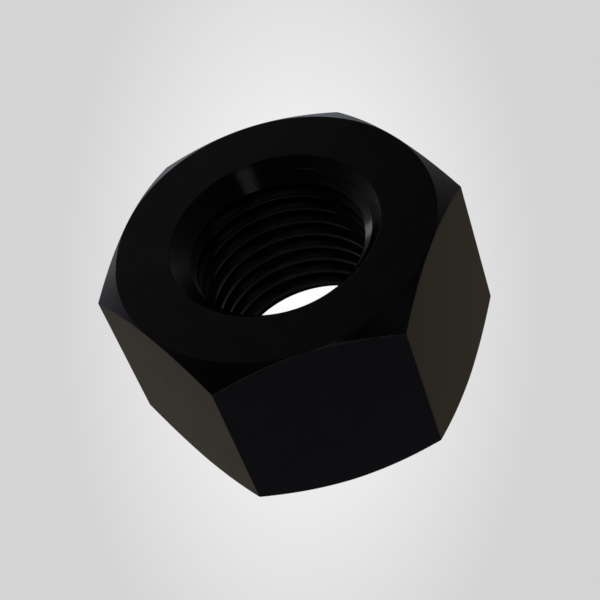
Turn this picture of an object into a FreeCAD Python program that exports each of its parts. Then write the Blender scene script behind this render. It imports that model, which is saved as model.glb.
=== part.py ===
import FreeCAD, Part
import enum
import math
import os
import Sketcher

# Heavy hex nut for a 30 mm screw thread of 3 mm pitch, one piece, in millimetres.
# The thread's axis is Z, the lower end face lies at Z = 0 and a corner of the hexagon points along +X.
# Both ends are alike: a turned chamfer takes the corners down and a countersink opens the bore.

# Driving dimensions: name, value and what each one measures
SIZES = (
    ("across_flats", 50.0, "wrench size, from one flat to the opposite flat"),
    ("nut_height", 30.7, "from end face to end face"),
    ("chamfer_inset", 0.05, "how far the rim of each end face stays inside the flats"),
    ("chamfer_angle", 35.0, "slope of the corner chamfer from the end face, degrees"),
    ("thread_diameter", 30.0, "major diameter, over the crests of the bolt that fits"),
    ("thread_pitch", 3.0, "rise of the thread in one turn, right hand"),
    ("thread_angle", 60.0, "angle between the two flanks, degrees"),
    ("thread_start", 4.15, "how far below the lower end face the thread cutter sets out, on the +X side"),
    ("countersink_margin", 1.4, "how far the countersink's mouth stands outside the bolt's crests"),
    ("countersink_angle", 45.0, "slope of the countersink from the end face, degrees"),
    ("overrun", 0.25, "how far a turning tool's profile reaches past the metal that it takes away"),
)

# Sizes that follow from the driving ones
CORNER_RADIUS = "(Sizes.across_flats / sqrt(3))"
END_FACE_RADIUS = "(Sizes.across_flats / 2 - Sizes.chamfer_inset)"
CHAMFER_REACH = f"({CORNER_RADIUS} - {END_FACE_RADIUS} + Sizes.overrun)"
# The thread is a V whose sharp root lies outside the bolt's crests by an eighth of the full triangle's
# height. The flat that is left between two turns, at the bore, is a quarter of the pitch.
FLANK_SPREAD = "(2 * tan(Sizes.thread_angle / 2 * 1 deg))"
TRIANGLE_HEIGHT = f"(Sizes.thread_pitch / {FLANK_SPREAD})"
CREST_FLAT = "(Sizes.thread_pitch / 4)"
BOLT_RADIUS = "(Sizes.thread_diameter / 2)"
ROOT_RADIUS = f"({BOLT_RADIUS} + {TRIANGLE_HEIGHT} / 8)"
THREAD_DEPTH = f"((Sizes.thread_pitch - {CREST_FLAT}) / {FLANK_SPREAD})"
BORE_RADIUS = f"({ROOT_RADIUS} - {THREAD_DEPTH})"
CUTTER_DEPTH = f"({THREAD_DEPTH} + Sizes.overrun)"
CUTTER_WIDTH = f"({CUTTER_DEPTH} * {FLANK_SPREAD})"
THREAD_TRAVEL = "(Sizes.nut_height + 2 * Sizes.thread_start)"
MOUTH_RADIUS = f"({BOLT_RADIUS} + Sizes.countersink_margin)"
COUNTERSINK_REACH = f"({MOUTH_RADIUS} - {BORE_RADIUS} + Sizes.overrun)"

# Counts and turns
FLATS = 6
BORE_ARCS = 4
FULL_TURN = 360


class Axis(enum.IntEnum):
    """A sketch's own axes."""

    X = -1
    Y = -2


class At(enum.IntEnum):
    """A place on a line, an arc or a circle in a sketch."""

    START = 1
    END = 2
    CENTRE = 3


ORIGIN = (Axis.X, At.START)


def make_sheet(doc):
    """One row for each driving dimension, with its name, its value and what it measures."""
    sheet = doc.addObject("Spreadsheet::Sheet", "Sizes")
    for row, (alias, value, meaning) in enumerate(SIZES, start=1):
        sheet.set(f"A{row}", alias)
        sheet.set(f"B{row}", str(value))
        sheet.set(f"C{row}", meaning)
        sheet.setAlias(f"B{row}", alias)
    doc.recompute()


def number(item, expression):
    """What an expression of the sheet's sizes comes to, as a plain number."""
    result = item.evalExpression(expression)
    return getattr(result, "Value", result)


def point(x, y):
    return FreeCAD.Vector(x, y, 0)


def make_sketch(body, name, plane_role):
    """An empty sketch on one of the body's own origin planes."""
    sketch = body.newObject("Sketcher::SketchObject", name)
    plane = next(item for item in body.Origin.OriginFeatures if item.Role == plane_role)
    sketch.AttachmentSupport = (plane, "")
    sketch.MapMode = "FlatFace"
    return sketch


def tie(sketch, kind, *places):
    """Adds a constraint that has no size."""
    sketch.addConstraint(Sketcher.Constraint(kind, *places))


def measure(sketch, name, kind, places, expression):
    """Adds a dimension and ties it to an expression of the sheet's sizes."""
    index = sketch.addConstraint(Sketcher.Constraint(kind, *places, number(sketch, expression)))
    sketch.renameConstraint(index, name)
    sketch.setExpression(f"Constraints.{name}", expression)


def draw_outline(sketch, corners):
    """A closed outline of straight lines, one from each corner to the next. Returns their indices."""
    following = corners[1:] + corners[:1]
    sides = [sketch.addGeometry(Part.LineSegment(*ends), False) for ends in zip(corners, following)]
    for side, next_side in zip(sides, sides[1:] + sides[:1]):
        tie(sketch, "Coincident", side, At.END, next_side, At.START)
    return sides


def draw_hexagon(sketch):
    """A regular hexagon about the origin with one corner on the sketch's X axis."""
    radius = number(sketch, CORNER_RADIUS)
    turns = [math.radians(FULL_TURN / FLATS * corner) for corner in range(FLATS)]
    corners = [point(radius * math.cos(turn), radius * math.sin(turn)) for turn in turns]
    sides = draw_outline(sketch, corners)
    circle = sketch.addGeometry(Part.Circle(point(0, 0), FreeCAD.Vector(0, 0, 1), radius), True)
    tie(sketch, "Coincident", circle, At.CENTRE, *ORIGIN)
    for side in sides:
        tie(sketch, "PointOnObject", side, At.START, circle)
    for side in sides[1:]:
        tie(sketch, "Equal", sides[0], side)
    tie(sketch, "PointOnObject", sides[0], At.START, Axis.X)
    # sides are numbered from the corner on +X, so the second faces +Y and the fifth faces -Y
    _, back, _, _, front, _ = sides
    measure(sketch, "flat_to_flat", "DistanceY", (front, At.END, back, At.START), "Sizes.across_flats")


def draw_bore(sketch):
    """The bore's circle as four quarter arcs that meet on the sketch's axes.

    Each quarter of the bore is a face of its own, so the strips of wall that the thread leaves
    between its turns stay short.
    """
    circle = Part.Circle(point(0, 0), FreeCAD.Vector(0, 0, 1), number(sketch, BORE_RADIUS))
    quarter = math.radians(FULL_TURN / BORE_ARCS)
    arcs = []
    for turn in range(BORE_ARCS):
        arc = Part.ArcOfCircle(circle, turn * quarter, (turn + 1) * quarter)
        arcs.append(sketch.addGeometry(arc, False))
    for arc, next_arc in zip(arcs, arcs[1:] + arcs[:1]):
        tie(sketch, "Coincident", arc, At.END, next_arc, At.START)
    for arc in arcs[:-1]:
        tie(sketch, "Coincident", arc, At.CENTRE, *ORIGIN)
    for arc in arcs[0::2]:
        tie(sketch, "PointOnObject", arc, At.START, Axis.X)
    for arc in arcs[1::2]:
        tie(sketch, "PointOnObject", arc, At.START, Axis.Y)
    tie(sketch, "Equal", arcs[0], arcs[-1])
    measure(sketch, "bore_radius", "Radius", (arcs[0],), BORE_RADIUS)


def draw_cone_wedge(sketch, end, rim, reach, slope, outwards):
    """A right triangle against one end face, which cuts a cone when it is turned about the axis.

    Its sharp corner lies on the end face at the rim's radius. One leg runs along the face by the
    reach, away from the axis or towards it, the other runs into the nut, and the slope is the
    angle at the sharp corner.
    """
    upper = end == "upper"
    height = number(sketch, "Sizes.nut_height") if upper else 0.0
    depth = f"{reach} * tan({slope} * 1 deg)"
    sharp_x = number(sketch, rim)
    square_x = sharp_x + number(sketch, reach) * (1 if outwards else -1)
    deep_y = height + number(sketch, depth) * (-1 if upper else 1)
    corners = [point(sharp_x, height), point(square_x, height), point(square_x, deep_y)]
    leg, side, _ = draw_outline(sketch, corners)
    tie(sketch, "Horizontal", leg)
    tie(sketch, "Vertical", side)
    if upper:
        measure(sketch, "upper_height", "DistanceY", (*ORIGIN, leg, At.START), "Sizes.nut_height")
    else:
        tie(sketch, "PointOnObject", leg, At.START, Axis.X)
    along = (leg, At.START, leg, At.END) if outwards else (leg, At.END, leg, At.START)
    inwards = (side, At.END, side, At.START) if upper else (side, At.START, side, At.END)
    measure(sketch, f"{end}_rim", "DistanceX", (*ORIGIN, leg, At.START), rim)
    measure(sketch, f"{end}_reach", "DistanceX", along, reach)
    measure(sketch, f"{end}_depth", "DistanceY", inwards, depth)


def draw_thread_groove(sketch):
    """The groove's section: a V with a sharp root, open towards the axis, below the lower end face."""
    root_x = number(sketch, ROOT_RADIUS)
    open_x = root_x - number(sketch, CUTTER_DEPTH)
    level = -number(sketch, "Sizes.thread_start")
    half_width = number(sketch, CUTTER_WIDTH) / 2
    root = point(root_x, level)
    upper_flank, opening, _ = draw_outline(sketch, [
        root,
        point(open_x, level + half_width),
        point(open_x, level - half_width),
    ])
    middle = sketch.addGeometry(Part.LineSegment(point(open_x, level), root), True)
    tie(sketch, "Coincident", middle, At.END, upper_flank, At.START)
    tie(sketch, "Vertical", opening)
    tie(sketch, "Horizontal", middle)
    tie(sketch, "Symmetric", opening, At.START, opening, At.END, middle, At.START)
    measure(sketch, "root_radius", "DistanceX", (*ORIGIN, middle, At.END), ROOT_RADIUS)
    measure(sketch, "cutter_depth", "DistanceX", (middle, At.START, middle, At.END), CUTTER_DEPTH)
    measure(sketch, "cutter_width", "DistanceY", (opening, At.END, opening, At.START), CUTTER_WIDTH)
    measure(sketch, "start_below", "DistanceY", (middle, At.END, *ORIGIN), "Sizes.thread_start")


def cut(doc, feature):
    """Brings the model up to date and stops if the feature took no metal away."""
    feature.Refine = False
    doc.recompute()
    removed = feature.BaseFeature.Shape.Volume - feature.Shape.Volume
    if removed <= 0:
        raise RuntimeError(f"{feature.Label} cut nothing")
    print(f"{feature.Label}: {removed:.1f} mm3 taken away")


def turn_both_ends(doc, body, name, rim, reach, slope, outwards):
    """Turns the same cone into the upper and the lower end face."""
    sketch = make_sketch(body, f"{name}_section", "XZ_Plane")
    draw_cone_wedge(sketch, "upper", rim, reach, slope, outwards)
    draw_cone_wedge(sketch, "lower", rim, reach, slope, outwards)
    groove = body.newObject("PartDesign::Groove", name)
    groove.Profile = sketch
    groove.ReferenceAxis = (sketch, ["V_Axis"])
    groove.Angle = FULL_TURN
    cut(doc, groove)


def build_nut(doc):
    """The whole nut: a length of hexagon bar, turned, bored, countersunk and tapped."""
    body = doc.addObject("PartDesign::Body", "hex_nut")
    body.Label = "hex_nut"

    hexagon = make_sketch(body, "hexagon", "XY_Plane")
    draw_hexagon(hexagon)
    bar = body.newObject("PartDesign::Pad", "hexagon_bar")
    bar.Profile = hexagon
    bar.setExpression("Length", "Sizes.nut_height")
    doc.recompute()

    turn_both_ends(doc, body, "corner_chamfers", END_FACE_RADIUS, CHAMFER_REACH,
                   "Sizes.chamfer_angle", outwards=True)

    circle = make_sketch(body, "bore_circle", "XY_Plane")
    draw_bore(circle)
    bore = body.newObject("PartDesign::Pocket", "bore")
    bore.Profile = circle
    bore.Type = "ThroughAll"
    bore.Reversed = True
    cut(doc, bore)

    turn_both_ends(doc, body, "countersinks", MOUTH_RADIUS, COUNTERSINK_REACH,
                   "Sizes.countersink_angle", outwards=False)

    section = make_sketch(body, "thread_section", "XZ_Plane")
    draw_thread_groove(section)
    thread = body.newObject("PartDesign::SubtractiveHelix", "thread")
    thread.Profile = section
    thread.ReferenceAxis = (section, ["V_Axis"])
    thread.Mode = "pitch-height-angle"
    thread.setExpression("Pitch", "Sizes.thread_pitch")
    thread.setExpression("Height", THREAD_TRAVEL)
    thread.LeftHanded = False
    cut(doc, thread)
    body.Tip = thread
    doc.recompute()
    return body


def check(doc, nodes):
    """Stops if any object failed, a sketch is loose, or a piece has no valid solid."""
    for item in doc.Objects:
        if "Invalid" in item.State or "Error" in item.State:
            raise RuntimeError(f"{item.Label} failed: {item.State}")
        if item.TypeId == "Sketcher::SketchObject" and not item.FullyConstrained:
            raise RuntimeError(f"{item.Label} isn't fully constrained")
    for node in nodes:
        if node.Shape.isNull() or not node.Shape.isValid() or not node.Shape.Solids:
            raise RuntimeError(f"{node.Label} has no valid solid")


doc = FreeCAD.newDocument("heavy_hex_nut")
make_sheet(doc)
nodes = [build_nut(doc)]
check(doc, nodes)

os.makedirs("parts", exist_ok=True)
for node in nodes:
    node.Shape.exportStep(f"parts/{node.Label}.step")
    print(f"{node.Label}: {len(node.Shape.Faces)} faces, {node.Shape.Volume:.1f} mm3")
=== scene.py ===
# %% [markdown]
# # A heavy hex nut in black oxide
#
# A heavy hex nut starts as a length of hexagon bar. It is faced and chamfered at both ends, drilled,
# countersunk and tapped, and then blackened in a hot salt bath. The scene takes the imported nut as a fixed
# frame, and puts a finely shaped nut with worked surfaces in the same place. Everything is in metres, with
# Z along the thread.

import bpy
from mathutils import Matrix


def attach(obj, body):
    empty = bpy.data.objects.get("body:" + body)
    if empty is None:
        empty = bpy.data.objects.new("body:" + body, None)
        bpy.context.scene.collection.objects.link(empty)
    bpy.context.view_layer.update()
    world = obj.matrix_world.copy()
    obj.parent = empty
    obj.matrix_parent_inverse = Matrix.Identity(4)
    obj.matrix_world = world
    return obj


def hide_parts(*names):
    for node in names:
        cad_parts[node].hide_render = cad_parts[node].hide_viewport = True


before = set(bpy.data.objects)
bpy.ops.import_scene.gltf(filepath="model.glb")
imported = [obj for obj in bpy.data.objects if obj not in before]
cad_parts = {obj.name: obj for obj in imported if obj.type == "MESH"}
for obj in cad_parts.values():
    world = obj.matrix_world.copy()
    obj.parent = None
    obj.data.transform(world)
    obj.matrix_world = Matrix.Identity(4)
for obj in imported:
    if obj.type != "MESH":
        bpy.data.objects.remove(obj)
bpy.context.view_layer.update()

import math

import bmesh
import bpy
import numpy as np
from mathutils import Matrix, Vector

# %% [markdown]
# ## Sizes
#
# These are the sizes that the nut was drawn to, in millimetres. A 60 degree thread is a V whose full
# triangle is half the pitch over tan 30 degrees high. Its crests, at the bore, keep a flat of a quarter of
# the pitch. Its roots keep a flat of an eighth of the pitch, at the radius of the bolt, because the tip of
# a real tap is never a knife edge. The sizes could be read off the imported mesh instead, but working them
# out here keeps them exact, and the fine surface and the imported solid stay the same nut.

# %% Sizes of the nut
MM = 0.001
FLATS = 6
ACROSS_FLATS = 50.0
NUT_HEIGHT = 30.7
END_RIM = 24.95
CHAMFER_SLOPE = math.tan(math.radians(35))
MOUTH = 16.4
PITCH = 3.0
BOLT_RADIUS = 15.0
CREST_HEIGHT = 0.35

triangle = PITCH / 2 / math.tan(math.radians(30))
crest_radius = BOLT_RADIUS - triangle * 5 / 8
half_crest = PITCH / 8
half_root = PITCH / 16
corner_radius = ACROSS_FLATS / math.sqrt(3)
print(f"thread: crest {crest_radius:.3f} mm and root {BOLT_RADIUS:.3f} mm from the axis")

# %% [markdown]
# ## Camera
#
# A long lens looks down at the nut from the front, at 46 degrees, and is rolled to the left, so the nut
# seems to tumble in the picture. A camera's matrix holds its right, up and back directions as columns, and
# its place as the last one. Turning the first two about the third is the roll. A lens shift could centre
# the nut as well, but sliding the camera along its own directions does it without shifting other views.

# %% Camera
PICTURE_WIDTH = 600
FOCAL_PIXELS = 1831.3
SENSOR = 36.0
NEAREST_SEEN = 0.01
CAMERA_TURN, CAMERA_HEIGHT, CAMERA_ROLL = 4.891, 45.969, -21.253
CAMERA_BACK, CAMERA_LEFT, CAMERA_UP = 296.63, 3.79, 9.87


def camera_axes(turn, height, roll):
    """Right, up and back directions of a camera, as three unit vectors.

    Back points from the nut to the camera: the turn goes round the axis from -Y, and the height is the
    angle above the floor. Right is level, up is back crossed with right, and both then turn about back by
    the roll.
    """
    flat = math.cos(height)
    back = np.array([math.sin(turn) * flat, -math.cos(turn) * flat, math.sin(height)])
    level = np.array([math.cos(turn), math.sin(turn), 0.0])
    upright = np.cross(back, level)
    right = math.cos(roll) * level + math.sin(roll) * upright
    up = math.cos(roll) * upright - math.sin(roll) * level
    return right, up, back


camera_angles = (CAMERA_TURN, CAMERA_HEIGHT, CAMERA_ROLL)
right, up, back = camera_axes(*(math.radians(angle) for angle in camera_angles))
place = (CAMERA_BACK * back - CAMERA_LEFT * right + CAMERA_UP * up) * MM

lens = bpy.data.cameras.new("camera")
lens.sensor_width = SENSOR
lens.lens = FOCAL_PIXELS / PICTURE_WIDTH * SENSOR
lens.clip_start = NEAREST_SEEN
camera = bpy.data.objects.new("camera", lens)
columns = np.stack([right, up, back, place], axis=1)
camera.matrix_world = Matrix([*columns.tolist(), [0, 0, 0, 1]])
bpy.context.scene.collection.objects.link(camera)
bpy.context.scene.camera = camera
print(f"camera: {lens.lens:.1f} mm lens, {np.linalg.norm(place):.3f} m from the nut")

# %% [markdown]
# ## Shaping the nut
#
# A nut is a turned part inside a hexagon, so it suits a grid with one direction round the axis and the
# other along its section. Every column of the grid is one angle, every row is one place on the section, and
# the surface is a function of the two. Cutting a hexagon with a cone and a drill would give the same form,
# but such cuts leave long thin faces that shade badly. Most columns are evenly spaced. Beside each corner
# of the hexagon a few more stand close together, because a real corner isn't a knife edge: it has a small
# rounding that catches the light.

# %% Columns round the axis
FULL_TURN = 2 * math.pi
EVEN_COLUMNS = 288
CORNER_ROUNDING = 0.22
BESIDE_CORNER = (-1.5, -1.0, -0.5, 0.5, 1.0, 1.5)

half_corner = math.pi / FLATS
tangent = CORNER_ROUNDING * math.tan(half_corner)
rounding_edge = math.atan2(
    tangent * math.cos(half_corner),
    corner_radius - tangent * math.sin(half_corner),
)
even = np.arange(EVEN_COLUMNS) * FULL_TURN / EVEN_COLUMNS
corners = np.arange(FLATS) * 2 * half_corner
near_corners = (corners[:, None] + rounding_edge * np.array(BESIDE_CORNER)).ravel() % FULL_TURN
angles = np.sort(np.concatenate([even, near_corners]))


def hexagon_radius(angle):
    """Distance of the hexagon's outline from the axis at an angle.

    On a flat it is half the width across flats over the cosine of the angle from the flat's middle. Near a
    corner the outline is a small circle, and the distance is that to its far side: the centre's distance
    times the cosine, plus the root of the rounding squared less the centre's distance times the sine,
    squared.
    """
    from_corner = (angle + half_corner) % (2 * half_corner) - half_corner
    on_flat = ACROSS_FLATS / 2 / np.cos(half_corner - np.abs(from_corner))
    centre = corner_radius - CORNER_ROUNDING / math.cos(half_corner)
    inside = np.clip(CORNER_ROUNDING**2 - (centre * np.sin(from_corner)) ** 2, 0, None)
    on_rounding = centre * np.cos(from_corner) + np.sqrt(inside)
    return np.where(np.abs(from_corner) < rounding_edge, on_rounding, on_flat)


outline = hexagon_radius(angles)
print(f"{len(angles)} columns, outline from {outline.min():.3f} to {outline.max():.3f} mm")

# %% [markdown]
# The section is drawn as a few straight sides, and each corner between two sides is then eased by a curve.
# A cutting edge leaves a corner of about a tenth of a millimetre, too small to see as a shape, but without
# it the edges of the part look like paper. A Bevel modifier could ease them too, but here one call on whole
# arrays eases a corner in every column at once, also where the chamfer thins out to nothing in the middle
# of a flat.

# %% Easing the corners of a section
MOST_OF_A_SIDE = 0.4


def eased(section, roundings, curve_steps, side_shares):
    """Rows of points along a section whose inner corners are eased.

    section is an array of corners by columns by (radius, height). A corner's curve starts and ends at the
    same distance from it, which is its rounding times the tangent of half the turn, and at most a fixed
    share of either side. A point of the curve is (1-t)^2 of the start, 2t(1-t) of the corner and t^2 of the
    end. Between two curves there are rows at the given shares of the straight that is left.
    """
    sides = np.diff(section, axis=0)
    lengths = np.linalg.norm(sides, axis=2, keepdims=True)
    ways = sides / lengths
    turns = np.arccos(np.clip((ways[:-1] * ways[1:]).sum(axis=2, keepdims=True), -1, 1))
    reach = np.asarray(roundings)[:, None, None] * np.tan(turns / 2)
    reach = np.minimum(reach, MOST_OF_A_SIDE * np.minimum(lengths[:-1], lengths[1:]))
    starts = section[1:-1] - ways[:-1] * reach
    ends = section[1:-1] + ways[1:] * reach
    rows = []
    for number, (start, corner, end) in enumerate(zip(starts, section[1:-1], ends)):
        t = np.linspace(0, 1, curve_steps[number] + 1)[:, None, None]
        rows.append((1 - t) ** 2 * start + 2 * t * (1 - t) * corner + t**2 * end)
        if number + 1 < len(starts):
            share = np.asarray(side_shares[number])[:, None, None]
            rows.append((1 - share) * end + share * starts[number + 1])
    return np.concatenate(rows)


square_corner = np.array([(0.0, 1.0), (0.0, 0.0), (1.0, 0.0)])[:, None, :]
from_tip = np.linalg.norm(eased(square_corner, [0.1], [2], [])[1])
print(f"a square corner eased by 0.1 mm: the curve's middle lies {from_tip:.3f} mm from the tip")

# %% [markdown]
# ## The outside of the nut
#
# Going down the outside, the section runs from the countersink's mouth across the end face to its rim, down
# the chamfer to the flat, down the flat, and back in the same way at the bottom. The chamfer is one cone on
# all six corners. Where it meets the flats it leaves the arched edges that make a hex nut look like one.
# Drawing each arch by hand could work, but here they come by themselves, because the foot of the chamfer
# follows the outline. The section starts and ends a little way down the countersinks, so both mouths are
# eased as well.

# %% Outside surface
MOUTH_EASE, RIM_EASE, FOOT_EASE = 0.07, 0.12, 0.18
OUTSIDE_EASES = [MOUTH_EASE, RIM_EASE, FOOT_EASE, FOOT_EASE, RIM_EASE, MOUTH_EASE]
CURVE_STEPS = 3
BOTH_ENDS = (0.03, 0.5, 0.97)
FLAT_ROWS = (0.01, 0.25, 0.5, 0.75, 0.99)
INTO_MOUTH = 1


def ring(radius, height):
    """One corner of the section in every column, from a radius and a height that may differ by column."""
    return np.stack(np.broadcast_arrays(radius, height, outline)[:2], axis=1)


chamfer_foot = (outline - END_RIM) * CHAMFER_SLOPE
outside_section = np.stack([
    ring(MOUTH - INTO_MOUTH, NUT_HEIGHT - INTO_MOUTH),
    ring(MOUTH, NUT_HEIGHT),
    ring(END_RIM, NUT_HEIGHT),
    ring(outline, NUT_HEIGHT - chamfer_foot),
    ring(outline, chamfer_foot),
    ring(END_RIM, 0),
    ring(MOUTH, 0),
    ring(MOUTH - INTO_MOUTH, INTO_MOUTH),
])
outside = eased(
    outside_section,
    OUTSIDE_EASES,
    [CURVE_STEPS] * len(OUTSIDE_EASES),
    [BOTH_ENDS, BOTH_ENDS, FLAT_ROWS, BOTH_ENDS, BOTH_ENDS],
)
print(f"outside: {outside.shape[0]} rows of {outside.shape[1]} points")

# %% [markdown]
# ## The thread
#
# An internal thread is the same V carried round the bore while it climbs one pitch a turn. First comes its
# section over one pitch: the flat crest, a flank, the root and the other flank. The first corner and the
# last two belong to the neighbouring pitches. They are there so that the easing comes out the same at both
# ends, and the one row that would be there twice is dropped.

# %% Section of the thread over one pitch
CREST_EASE = 0.07
ROOT_EASE = 0.26
CREST_STEPS, ROOT_STEPS = 2, 3
FLANK_ENDS = (0.05, 0.95)

v_section = np.array([
    (BOLT_RADIUS, half_root - PITCH / 2),
    (crest_radius, -half_crest),
    (crest_radius, half_crest),
    (BOLT_RADIUS, PITCH / 2 - half_root),
    (BOLT_RADIUS, PITCH / 2 + half_root),
    (crest_radius, PITCH - half_crest),
    (crest_radius, PITCH + half_crest),
])[:, None, :]
thread_rows = eased(
    v_section,
    [CREST_EASE, CREST_EASE, ROOT_EASE, ROOT_EASE, CREST_EASE],
    [CREST_STEPS, CREST_STEPS, ROOT_STEPS, ROOT_STEPS, 0],
    [(), FLANK_ENDS, (), FLANK_ENDS],
)[:-1, 0, :]
rows_in_pitch = len(thread_rows)
print(f"thread: {rows_in_pitch} rows in each pitch")

# %% [markdown]
# Now the rows are carried round. A Screw modifier could do that for a plain thread, but not for one that
# runs out in two countersinks, so the heights are worked out. Each row climbs with the thread, so crests
# and roots are lines of the grid and stay sharp, where level rows would cut across them in steps. The rows
# go on for two turns past both ends, because a tap runs right through.

# %% Rows that climb round the bore
TURNS_PAST_ENDS = 2

turns = np.arange(-TURNS_PAST_ENDS, math.ceil(NUT_HEIGHT / PITCH) + TURNS_PAST_ENDS)
climb = PITCH * angles / FULL_TURN
base_height = (turns[:, None] * PITCH + thread_rows[:, 1]).ravel() + CREST_HEIGHT
height = base_height[:, None] + climb
thread_radius = np.tile(thread_rows[:, 0], len(turns))[:, None] + 0 * climb
print(f"bore: {height.shape[0]} rows, from {height.min():.1f} to {height.max():.1f} mm high")

# %% [markdown]
# At both ends the countersink cuts the thread away. The surface there is whichever lies further from the
# axis, the thread or the cone. Where the two cross inside a column, the nearer row is moved to the
# crossing, so that the run-out has a clean edge too. Rows past the ends fold up on the countersink's mouth,
# where they meet the outside's first and last row, and are merged away later.

# %% Run-out of the thread in the countersinks


def cone_radius(at_height):
    """Radius of the nearer countersink: its mouth less the depth below its end face, for a 45 degree cone."""
    return MOUTH - np.minimum(at_height, NUT_HEIGHT - at_height)


past_thread = cone_radius(height) - thread_radius
on_cone = past_thread > 0
below, above = past_thread[:-1], past_thread[1:]
crossing = below * above < 0
share = np.where(crossing, below / np.where(crossing, below - above, 1), 0)
crossing_height = height[:-1] + share * np.diff(height, axis=0)
move_lower = crossing & (share < 0.5)
move_upper = crossing & (share >= 0.5)
on_edge = np.zeros(height.shape, bool)
height[:-1][move_lower] = crossing_height[move_lower]
on_edge[:-1] |= move_lower
height[1:][move_upper] = crossing_height[move_upper]
on_edge[1:] |= move_upper

bore_radius = np.where(on_edge | on_cone, cone_radius(height), thread_radius)
lowest, highest = outside[-1, 0, 1], outside[0, 0, 1]
folded = (height < lowest) | (height > highest)
height = np.clip(height, lowest, highest)
bore_radius = np.where(folded, outside[0, 0, 0], bore_radius)
print(f"run-out: {int(crossing.sum())} places where the thread meets a countersink")

# %% [markdown]
# ## Making the mesh
#
# Both grids become one mesh. The bore's rows climb and the outside's rows go down, so together they go
# round the section once, and the same order of corners makes every face point out of the metal. After a
# full turn the last column of the bore meets the first one a pitch higher up, so the seam is closed by
# joining each row to the one a whole V above. Two objects joined later would do as well, but one list of
# points and faces makes both in a single step.

# %% Faces of the two grids


def grid_faces(numbers, next_numbers):
    """Faces between each row and the next, and each column and the next.

    A face takes a row's point, its neighbour in the next column, that neighbour's in the next row, and the
    point of the next row above the first.
    """
    return np.stack([numbers[:-1], next_numbers[:-1], next_numbers[1:], numbers[1:]], axis=-1)


def next_in_bore(values):
    """Each value's neighbour in the next column: for the last column, the first one a pitch higher up."""
    higher = np.minimum(np.arange(len(values)) + rows_in_pitch, len(values) - 1)
    neighbours = np.roll(values, -1, axis=1)
    neighbours[:, -1] = values[higher, 0]
    return neighbours


bore_numbers = np.arange(height.size).reshape(height.shape)
bore_faces = grid_faces(bore_numbers, next_in_bore(bore_numbers)).reshape(-1, 4)[:, ::-1]
outside_numbers = bore_numbers.size + np.arange(outside[..., 0].size).reshape(outside.shape[:2])
outside_grid = grid_faces(outside_numbers, np.roll(outside_numbers, -1, axis=1))
outside_faces = outside_grid.reshape(-1, 4)[:, ::-1]
print(f"faces: {len(bore_faces)} in the bore and {len(outside_faces)} outside")

# %% [markdown]
# Each face also notes how it was made: turned on a lathe, left as drawn bar, or cut by the tap. The finish
# reads that note later on, because each tool leaves marks of its own. Three materials could do the same,
# but then every change to the oxide would have to be made three times. In the bore a face is turned where
# all four of its corners lie on a countersink, and outside only the flats are bar.

# %% How each face is made
TURNED, BAR, TAPPED = 0.0, 1.0, 2.0
CORNERS_TO_FLAT = 3

edge_next, cone_next = next_in_bore(on_edge), next_in_bore(on_cone)
four_corners = (
    on_cone[:-1] | on_edge[:-1],
    on_cone[1:] | on_edge[1:],
    cone_next[:-1] | edge_next[:-1],
    cone_next[1:] | edge_next[1:],
)
bore_note = np.where(np.all(four_corners, axis=0), TURNED, TAPPED).ravel()

rows_to_flat = CORNERS_TO_FLAT * (CURVE_STEPS + 1) + 2 * len(BOTH_ENDS)
outside_note = np.full(outside_grid.shape[:2], TURNED)
outside_note[rows_to_flat:-rows_to_flat] = BAR
print(f"{int((bore_note == TAPPED).sum())} tapped faces and {int((outside_note == BAR).sum())} of bar")

# %% [markdown]
# The run-out's edge follows the grid's rows and columns, but now and then it crosses a face from corner to
# corner. A four-cornered face would be bent there, and its fold could go the wrong way. Such a face is
# split into two triangles along the edge.

# %% Split the faces that the run-out crosses
first_diagonal = (on_edge[:-1] & edge_next[1:]).ravel()
second_diagonal = (on_edge[1:] & edge_next[:-1]).ravel() & ~first_diagonal
whole = ~(first_diagonal | second_diagonal)
upper_left, upper_right, lower_right, lower_left = bore_faces.T
pieces_of_faces = (
    ((upper_left, upper_right, lower_right, lower_left), whole),
    ((upper_right, lower_right, lower_left), first_diagonal),
    ((upper_right, lower_left, upper_left), first_diagonal),
    ((upper_left, upper_right, lower_right), second_diagonal),
    ((upper_left, lower_right, lower_left), second_diagonal),
)
face_groups = [np.stack(face, axis=1)[chosen] for face, chosen in pieces_of_faces]
face_groups.append(outside_faces)
notes = [bore_note[chosen] for _, chosen in pieces_of_faces]
notes.append(outside_note.ravel())
faces = [face for group in face_groups for face in group.tolist()]
print(f"{int(first_diagonal.sum() + second_diagonal.sum())} faces split, {len(faces)} faces in all")

# %% [markdown]
# The points come from the radius and the height of each row in each column. Once they are in the mesh,
# points that lie in one place are merged: the folded rows vanish, and the bore and the outside become one
# closed skin. Faces are shaded smooth, and an edge is drawn sharp only where two faces meet at a steep
# angle, so the facets of the grid don't show.

# %% Mesh of the nut
MERGE = 1e-7
CREASE = math.radians(38)


def column_points(radius, at_height):
    """Points from radius and height in every column: x is radius times cosine, y is radius times sine."""
    circle = (radius * np.cos(angles), radius * np.sin(angles), at_height)
    return np.stack(circle, axis=-1).reshape(-1, 3)


points = np.concatenate([
    column_points(bore_radius, height),
    column_points(outside[..., 0], outside[..., 1]),
]) * MM
mesh = bpy.data.meshes.new("heavy_nut")
mesh.from_pydata(points.tolist(), [], faces)
making = mesh.attributes.new("how_made", "FLOAT", "FACE")
making.data.foreach_set("value", np.concatenate(notes).astype(np.float32))

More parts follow.
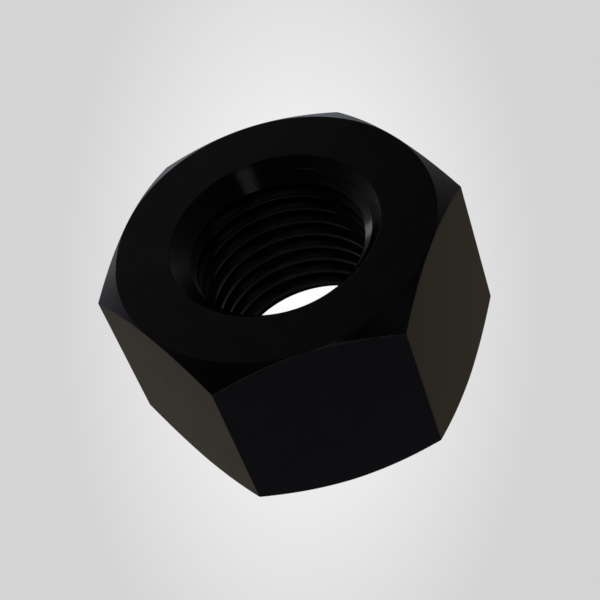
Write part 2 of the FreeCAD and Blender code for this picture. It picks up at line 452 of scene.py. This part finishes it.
work = bmesh.new()
work.from_mesh(mesh)
bmesh.ops.remove_doubles(work, verts=work.verts, dist=MERGE)
loose = [vert for vert in work.verts if not vert.link_faces]
bmesh.ops.delete(work, geom=loose, context="VERTS")
open_edges = sum(len(edge.link_faces) != 2 for edge in work.edges)
volume = work.calc_volume(signed=True) / MM**3
work.to_mesh(mesh)
work.free()
mesh.shade_smooth()
mesh.set_sharp_from_angle(angle=CREASE)
triangles = sum(len(face.vertices) - 2 for face in mesh.polygons)
print(f"mesh: {triangles} triangles, {open_edges} edges without two faces, {volume:.0f} cubic mm")

# %% [markdown]
# The nut is one piece with nothing that moves, so it rides on the one body of the frame. It stands for the
# packed nut, which stays in place, hidden, for the tests of motion.

# %% Put the nut in the frame
nut = bpy.data.objects.new("heavy_nut", mesh)
bpy.context.scene.collection.objects.link(nut)
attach(nut, "root")
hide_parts("hex_nut")
print("heavy_nut stands for hex_nut and rides on root")

# %% [markdown]
# ## Black oxide
#
# Black oxide is a thin layer of magnetite grown on the steel and sealed with oil. Seen square on it is
# nearly black, and at a grazing angle it mirrors its surroundings almost fully. Black paint under a clear
# coat could look like it, but a metal with a very dark base colour does both with fewer settings: its
# mirror strength rises from the base colour to the tint as the view flattens.
#
# A material is a tree of nodes. Small helpers keep the tree readable: each adds a node, and hands on what
# the next node needs.

# %% Helpers that add nodes


def add(tree, kind, settings=None, **sockets):
    """Adds a node and returns it.

    Its settings are attributes. A socket is named by its title with _ for a space, or by i and its number,
    and takes a number, a colour or another node's output.
    """
    node = tree.nodes.new(kind)
    for name, value in (settings or {}).items():
        setattr(node, name, value)
    for name, value in sockets.items():
        socket = node.inputs[int(name[1:])] if name[1:].isdigit() else node.inputs[name.replace("_", " ")]
        if isinstance(value, bpy.types.NodeSocket):
            tree.links.new(value, socket)
        else:
            socket.default_value = value
    return node


def math_node(tree, operation, *values):
    """The result of one sum on numbers, such as ADD or SQRT."""
    numbered = {f"i{number}": value for number, value in enumerate(values)}
    return add(tree, "ShaderNodeMath", {"operation": operation}, **numbered).outputs[0]


def vector_node(tree, operation, first, second, result="Vector"):
    """The result of one sum on two vectors. A dot product is a number, and its result is named Value."""
    node = add(tree, "ShaderNodeVectorMath", {"operation": operation}, i0=first, i1=second)
    return node.outputs[result]


def length_of(tree, *parts):
    """The root of the sum of the squares of two parts."""
    squares = [math_node(tree, "MULTIPLY", part, part) for part in parts]
    return math_node(tree, "SQRT", math_node(tree, "ADD", *squares))


def fresh_tree(owner):
    """The empty node tree of a new material or world."""
    owner.use_nodes = True
    owner.node_tree.nodes.clear()
    return owner.node_tree


print("helpers for nodes: add, math_node, vector_node, length_of and fresh_tree")

# %% [markdown]
# The finish depends on the place, so the tree starts from the point's own coordinates on the nut, in
# millimetres, its distance from the axis, and the note of how its face was made. A painted map could say
# where each finish goes, but these need no picture, and they go with the nut wherever it is seen from.

# %% Where each finish goes
NOTE_MATCH = 0.5

black_oxide = bpy.data.materials.new("black_oxide")
tree = fresh_tree(black_oxide)
spot = add(tree, "ShaderNodeTexCoord").outputs["Object"]
in_mm = add(tree, "ShaderNodeMapping", Vector=spot, Scale=(1 / MM,) * 3).outputs[0]
x, y, z = add(tree, "ShaderNodeSeparateXYZ", Vector=in_mm).outputs
from_axis = length_of(tree, x, y)
how_made = add(tree, "ShaderNodeAttribute", {"attribute_name": "how_made"}).outputs["Fac"]
is_turned, is_bar, is_tapped = (
    math_node(tree, "COMPARE", how_made, note, NOTE_MATCH) for note in (TURNED, BAR, TAPPED)
)
inside_mouth = math_node(tree, "LESS_THAN", from_axis, MOUTH)
in_countersink = math_node(tree, "MULTIPLY", is_turned, inside_mouth)
print(f"countersinks: the turned faces within {MOUTH} mm of the axis")

# %% [markdown]
# The marks of each tool run their own way. A lathe leaves rings about the axis on the end faces, the
# chamfer and the countersinks, so their height is a noise of the distance from the axis alone. Drawing the
# bar leaves faint lines along the flats, which is a noise stretched along Z. A tap scores lines that climb
# with the thread, which is a noise of the height less the climb of the helix at that angle. All are a few
# thousandths of a millimetre deep, too little for the mesh, so a Bump node tilts the surface instead. Over
# them lies the fine grain of the oxide's crystals.

# %% Tool marks and grain
RINGS_TO_A_MM = 5.0
TAP_LINES_TO_A_MM = 9.0
DRAWN_LINES_TO_A_MM = (4, 4, 0.08)
GRAINS_TO_A_MM = 5.0
MARK_DEPTH = 6e-6
GRAIN_DEPTH = 1.2e-6


def noise_lines(tree, across, to_a_mm, detail):
    """Noise of one number, so it stays the same along a line on which that number doesn't change."""
    settings = {"noise_dimensions": "1D"}
    return add(tree, "ShaderNodeTexNoise", settings, W=across, Scale=to_a_mm, Detail=detail).outputs[0]


def bump(tree, depth, height, **under):
    """The surface's normal, tilted as if it rose by the depth where the height goes from 0 to 1."""
    return add(tree, "ShaderNodeBump", Strength=1.0, Distance=depth, Height=height, **under).outputs[0]


turned_lines = noise_lines(tree, from_axis, RINGS_TO_A_MM, 3.0)
along_bar = add(tree, "ShaderNodeMapping", Vector=in_mm, Scale=DRAWN_LINES_TO_A_MM).outputs[0]
drawn_lines = add(tree, "ShaderNodeTexNoise", Vector=along_bar, Scale=1.0, Detail=3.0).outputs[0]
turn_share = math_node(tree, "DIVIDE", math_node(tree, "ARCTAN2", y, x), FULL_TURN)
up_the_thread = math_node(tree, "MULTIPLY_ADD", turn_share, -PITCH, z)
tap_lines = noise_lines(tree, up_the_thread, TAP_LINES_TO_A_MM, 2.0)

on_turned = math_node(tree, "MULTIPLY", is_turned, turned_lines)
on_bar = math_node(tree, "MULTIPLY", is_bar, drawn_lines)
on_tapped = math_node(tree, "MULTIPLY", is_tapped, tap_lines)
marks = math_node(tree, "ADD", on_turned, math_node(tree, "ADD", on_bar, on_tapped))
grain = add(tree, "ShaderNodeTexNoise", Vector=in_mm, Scale=GRAINS_TO_A_MM, Detail=2.0).outputs[0]
marked = bump(tree, MARK_DEPTH, marks)
grained = bump(tree, GRAIN_DEPTH, grain, Normal=marked)
print(f"marks {MARK_DEPTH / MM:.4f} mm and grain {GRAIN_DEPTH / MM:.4f} mm deep")

# %% [markdown]
# The bath never blackens a part quite evenly. A soft cloud, with the tool marks in it, shifts both the tone
# and the gloss a little. One noise drives both, because a thin place in the oxide is lighter and duller at
# once. The countersinks are painted about 0.6 as bright as the rest: that is painted shade in the recess.

# %% Tone and gloss of the oxide
BLACK = (0.0178, 0.0179, 0.0182, 1.0)
WORN_IN = (0.0236, 0.0234, 0.0232, 1.0)
# Painted shade: a darker tone for the countersinks, standing in for the shade in the recess.
COUNTERSINK_PAINTED_SHADE = (0.0116, 0.0116, 0.0115, 1.0)
CLOUDS_TO_A_MM = 0.22
CLOUD_SPAN = {"From_Min": 0.36, "From_Max": 0.64}
GLOSSIEST, DULLEST = 0.170, 0.220
GRAIN_GLOSS = 0.04

clouds = {"Scale": CLOUDS_TO_A_MM, "Detail": 4.0, "Roughness": 0.6}
cloud = add(tree, "ShaderNodeTexNoise", Vector=in_mm, **clouds).outputs[0]
half_cloud = math_node(tree, "MULTIPLY", cloud, 0.5)
cloud_and_marks = math_node(tree, "MULTIPLY_ADD", marks, 0.5, half_cloud)
wear = add(tree, "ShaderNodeMapRange", Value=cloud_and_marks, **CLOUD_SPAN).outputs[0]
tint = add(tree, "ShaderNodeMix", {"data_type": "RGBA"}, i0=wear, i6=BLACK, i7=WORN_IN).outputs[2]
# Painted shade: inside the countersinks the tone is mixed to the darker colour.
tint = add(tree, "ShaderNodeMix", {"data_type": "RGBA"}, i0=in_countersink, i6=tint, i7=COUNTERSINK_PAINTED_SHADE).outputs[2]
gloss_span = {"To_Min": GLOSSIEST, "To_Max": DULLEST, **CLOUD_SPAN}
cloud_gloss = add(tree, "ShaderNodeMapRange", Value=cloud_and_marks, **gloss_span).outputs[0]
gloss = math_node(tree, "MULTIPLY_ADD", grain, GRAIN_GLOSS, cloud_gloss)
print(f"tone from {BLACK[1]} to {WORN_IN[1]}, roughness from {GLOSSIEST} to {DULLEST + GRAIN_GLOSS:.2f}")

# %% [markdown]
# The finest marks are too small to see one by one. Together they spread a reflection across themselves and
# hardly at all along themselves, which is why a turned face shows bright streaks. Finer bumps could do it,
# but they would need far more samples. The shader has it as anisotropy: its tangent is the direction to
# spread in, the surface's normal crossed with the way the marks run. The marks run along Z on the flats,
# and round the axis elsewhere.

# %% Sheen of the oxide
GRAZING = (0.99, 0.98, 0.96, 1.0)
SPREAD = 0.8
ALONG_AXIS = (0.0, 0.0, 1.0)

around = add(tree, "ShaderNodeCombineXYZ", X=math_node(tree, "MULTIPLY", y, -1.0), Y=x).outputs[0]
either_way = {"data_type": "VECTOR"}
marks_run = add(tree, "ShaderNodeMix", either_way, i0=is_bar, i4=around, i5=ALONG_AXIS).outputs[1]
outwards = add(tree, "ShaderNodeNewGeometry").outputs["Normal"]
across_marks = vector_node(tree, "CROSS_PRODUCT", outwards, marks_run)
shader = add(
    tree,
    "ShaderNodeBsdfPrincipled",
    Base_Color=tint,
    Metallic=1.0,
    Roughness=gloss,
    Anisotropic=SPREAD,
    Tangent=across_marks,
    Specular_Tint=GRAZING,
    Normal=grained,
)
add(tree, "ShaderNodeOutputMaterial", Surface=shader.outputs[0])
mesh.materials.append(black_oxide)
print(f"black oxide: {len(tree.nodes)} nodes")

# %% [markdown]
# ## Floor
#
# The nut stands on a plain pale light table. It glows, brightest in the middle and fading to a light grey,
# so the nut throws no shadow and the bore shows pure white at its far end. A lit white floor would need
# many lights to lose its shadow. Reflections don't see the table: the studio around it lights the nut by
# itself.

# %% Floor
FLOOR_RADIUS = 3.0
SPOKES = 64

spokes = np.arange(SPOKES) * FULL_TURN / SPOKES
rim = np.stack([np.cos(spokes), np.sin(spokes), 0 * spokes], axis=1) * FLOOR_RADIUS
floor_mesh = bpy.data.meshes.new("floor")
floor_mesh.from_pydata(rim.tolist(), [], [list(range(SPOKES))])
floor = bpy.data.objects.new("floor", floor_mesh)
bpy.context.scene.collection.objects.link(floor)
floor.visible_glossy = False
floor.visible_diffuse = False
print(f"floor: a disc of {FLOOR_RADIUS} m radius")

# %% [markdown]
# The glow is an oval that stands upright in the picture. A round one on the floor would look leaned over
# and squashed, so the oval is cast onto the floor from the place worked out above for the camera. That
# place goes in as plain numbers, so the glow lies still when the scene is seen from elsewhere. A floor
# point's way from there is measured across, up and ahead by dot products, and across and up are divided by
# ahead. The tone falls evenly from the middle to the oval's rim, and is level beyond it. A screen's curve
# then turns the tone into light: tone plus 0.055, over 1.055, to the power of 2.4.

# %% Glow of the floor
GLOW_ACROSS = 245
GLOW_UP = 437
GLOW_FADE = 43.1 / 255
LEAST_AHEAD = 0.05
CURVE_OFFSET = 0.055
CURVE_POWER = 2.4

glow = bpy.data.materials.new("light_table")
tree = fresh_tree(glow)
spot = add(tree, "ShaderNodeTexCoord").outputs["Object"]
from_place = vector_node(tree, "SUBTRACT", spot, tuple(place))
across, upwards, ahead = (
    vector_node(tree, "DOT_PRODUCT", from_place, tuple(axis), "Value")
    for axis in (right * FOCAL_PIXELS / GLOW_ACROSS, up * FOCAL_PIXELS / GLOW_UP, -back)
)
ahead = math_node(tree, "MAXIMUM", ahead, LEAST_AHEAD)
from_middle = length_of(tree, *(math_node(tree, "DIVIDE", part, ahead) for part in (across, upwards)))
distance = math_node(tree, "MINIMUM", from_middle, 1.0)
tone = math_node(tree, "MULTIPLY_ADD", distance, -GLOW_FADE, 1.0)
on_curve = math_node(tree, "DIVIDE", math_node(tree, "ADD", tone, CURVE_OFFSET), 1 + CURVE_OFFSET)
strength = math_node(tree, "POWER", on_curve, CURVE_POWER)
emission = add(tree, "ShaderNodeEmission", Strength=strength)
add(tree, "ShaderNodeOutputMaterial", Surface=emission.outputs[0])
floor_mesh.materials.append(glow)
print(f"glow: white in the middle, {1 - GLOW_FADE:.2f} of that tone from the oval's rim outwards")

# %% [markdown]
# ## Studio light
#
# A near-black metal shows only what it mirrors. So the studio is planned backwards: for each face of the
# nut, how bright is the direction that it mirrors? Overhead it is dark, at the horizon it is bright, and
# below that it is a soft grey. Many lamps could build this up, but a colour ramp on the height of the
# direction makes it at once. Its stops are given by their angle above the floor, and a sine turns the angle
# into the height.

# %% Light by height
STOPS = (
    (-90, (0.096, 0.096, 0.091)),
    (-50, (0.096, 0.096, 0.089)),
    (-35, (0.130, 0.128, 0.122)),
    (-17, (0.225, 0.250, 0.315)),
    (-6, (0.590, 0.605, 0.625)),
    (3, (0.455, 0.462, 0.468)),
    (12, (0.350, 0.352, 0.355)),
    (25, (0.160, 0.160, 0.158)),
    (38, (0.076, 0.076, 0.076)),
    (50, (0.028, 0.028, 0.028)),
    (90, (0.034, 0.034, 0.034)),
)

world = bpy.data.worlds.new("studio")
bpy.context.scene.world = world
tree = fresh_tree(world)
way = add(tree, "ShaderNodeTexCoord").outputs["Generated"]
_, away_from_front, rise = add(tree, "ShaderNodeSeparateXYZ", Vector=way).outputs
ramp = add(tree, "ShaderNodeValToRGB", Fac=math_node(tree, "MULTIPLY_ADD", rise, 0.5, 0.5))
elements = ramp.color_ramp.elements
while len(elements) < len(STOPS):
    elements.new(0.5)
for element, (angle, colour) in zip(elements, STOPS):
    element.position = (math.sin(math.radians(angle)) + 1) / 2
    element.color = (*colour, 1.0)
surroundings = add(tree, "ShaderNodeBackground", Color=ramp.outputs[0]).outputs[0]
print(f"light by height: {len(elements)} stops")

# %% [markdown]
# Single soft lights come on top. Each is a round patch with a soft rim: the dot product of two unit vectors
# is the cosine of the angle between them, so it tells how near a direction is to the patch's middle. Each
# is named for the surface that mirrors it. The warm ones below give the side flats their brown sheen, and a
# cool one gives the front flat a faint blue.

# %% Soft lights
# azimuth, elevation, half-width of the bright part, half-width with the fade, colour times strength
SOFT_LIGHTS = {
    "upper left of the end face": (122, 31, 4, 36, (0.165, 0.166, 0.168)),
    "chamfer at the left corner": (138, 0, 8, 38, (0.000, 0.000, 0.080)),
    "eased edges in front": (-130, 72, 4, 16, (0.108, 0.108, 0.108)),
    "chamfer at the right front corner": (-14, 59, 4, 16, (0.118, 0.118, 0.118)),
    "left flat": (139, -52, 10, 42, (0.037, 0.024, 0.010)),
    "right flat": (30, -52, 10, 42, (0.060, 0.041, 0.018)),
    "front flat": (-97, -60, 6, 34, (0.062, 0.066, 0.105)),
    "end face seen from above": (90, 88, 4, 14, (0.250, 0.250, 0.250)),
    "thin chamfers at the back": (95, -25, 5, 19, (0.140, 0.150, 0.200)),
}


def direction(azimuth, elevation):
    """A unit vector: azimuth is measured from +X towards +Y, elevation up from the floor, in degrees."""
    turn, tip = math.radians(azimuth), math.radians(elevation)
    return (math.cos(turn) * math.cos(tip), math.sin(turn) * math.cos(tip), math.sin(tip))


def soft_step(tree, value, none_at, full_at, most=1.0):
    """A share that is 0 at one value and the most at another, and starts and ends smoothly between them."""
    smooth = {"interpolation_type": "SMOOTHSTEP"}
    span = {"From_Min": none_at, "From_Max": full_at, "To_Max": most}
    return add(tree, "ShaderNodeMapRange", smooth, Value=value, **span).outputs[0]


for azimuth, elevation, inner, outer, colour in SOFT_LIGHTS.values():
    nearness = vector_node(tree, "DOT_PRODUCT", way, direction(azimuth, elevation), "Value")
    cos_outer, cos_inner = math.cos(math.radians(outer)), math.cos(math.radians(inner))
    fade_out = soft_step(tree, nearness, cos_outer, cos_inner)
    lamp = add(tree, "ShaderNodeBackground", Color=(*colour, 1.0), Strength=fade_out).outputs[0]
    surroundings = add(tree, "ShaderNodeAddShader", i0=surroundings, i1=lamp).outputs[0]
print("soft lights, by the surface that mirrors each:", "; ".join(SOFT_LIGHTS))

# %% [markdown]
# Seen from low down, the flats would be lost in the dark. A wide band of light just below the horizon, on
# the front half of the studio only, gives them a faint sheen there. The camera itself sees none of this
# light, only an even grey beyond the floor.

# %% Band of light in front, and the backdrop
BAND_RISE = -0.2
BAND_NONE, BAND_FULL, BAND_STRENGTH = 0.4, 0.08, 0.34
FRONT_NONE, FRONT_FULL = 0.2, -0.3
BACKDROP = (0.658, 0.658, 0.658, 1.0)

toward_front = soft_step(tree, away_from_front, FRONT_NONE, FRONT_FULL)
from_band = math_node(tree, "ABSOLUTE", math_node(tree, "ADD", rise, -BAND_RISE))
in_band = soft_step(tree, from_band, BAND_NONE, BAND_FULL, BAND_STRENGTH)
band_strength = math_node(tree, "MULTIPLY", toward_front, in_band)
band = add(tree, "ShaderNodeBackground", Strength=band_strength).outputs[0]
surroundings = add(tree, "ShaderNodeAddShader", i0=surroundings, i1=band).outputs[0]

backdrop = add(tree, "ShaderNodeBackground", Color=BACKDROP).outputs[0]
seen_directly = add(tree, "ShaderNodeLightPath").outputs["Is Camera Ray"]
mix = add(tree, "ShaderNodeMixShader", i0=seen_directly, i1=surroundings, i2=backdrop).outputs[0]
add(tree, "ShaderNodeOutputWorld", Surface=mix)
print(f"studio: {len(tree.nodes)} nodes")

# %% [markdown]
# Two softboxes make the small bright reflections: a streak on the far side of the countersink, and a glint
# at its right end, where it meets the bore. They could be patches like the others, but an area light gives
# a small reflection a crisp shape with little noise. Each is set by its direction and by the brightness
# that it shows, and its power follows from its size.

# %% Softboxes
BOX_DISTANCE = 0.8


def softbox(name, azimuth, elevation, half_width, half_height, radiance):
    """An oval area light that faces the nut from a direction. Its half-sizes are degrees seen from the nut.

    A flat light's power is its radiance times pi times its area, and an oval's area is pi/4 of its box.
    """
    light = bpy.data.lights.new(name, "AREA")
    light.shape = "ELLIPSE"
    light.size = 2 * BOX_DISTANCE * math.tan(math.radians(half_width))
    light.size_y = 2 * BOX_DISTANCE * math.tan(math.radians(half_height))
    light.energy = radiance * math.pi * math.pi / 4 * light.size * light.size_y
    box = bpy.data.objects.new(name, light)
    toward = Vector(direction(azimuth, elevation))
    box.rotation_euler = toward.to_track_quat("Z", "Y").to_euler()
    box.location = toward * BOX_DISTANCE
    box.visible_camera = False
    bpy.context.scene.collection.objects.link(box)
    print(f"{name}: {light.size / MM:.0f} x {light.size_y / MM:.0f} mm, {light.energy:.3f} W")


softbox("front_softbox", azimuth=-78.8, elevation=49, half_width=6.6, half_height=4.0, radiance=2.35)
softbox("back_softbox", azimuth=125.5, elevation=15.5, half_width=4.2, half_height=5.2, radiance=4.9)

# %% [markdown]
# ## Tones
#
# The plain view transform shows the light as it is, with no film look that would grey the white floor.

# %% Tones of the picture
view = bpy.context.scene.view_settings
view.view_transform = "Standard"
view.look = "None"
print("view transform:", view.view_transform)
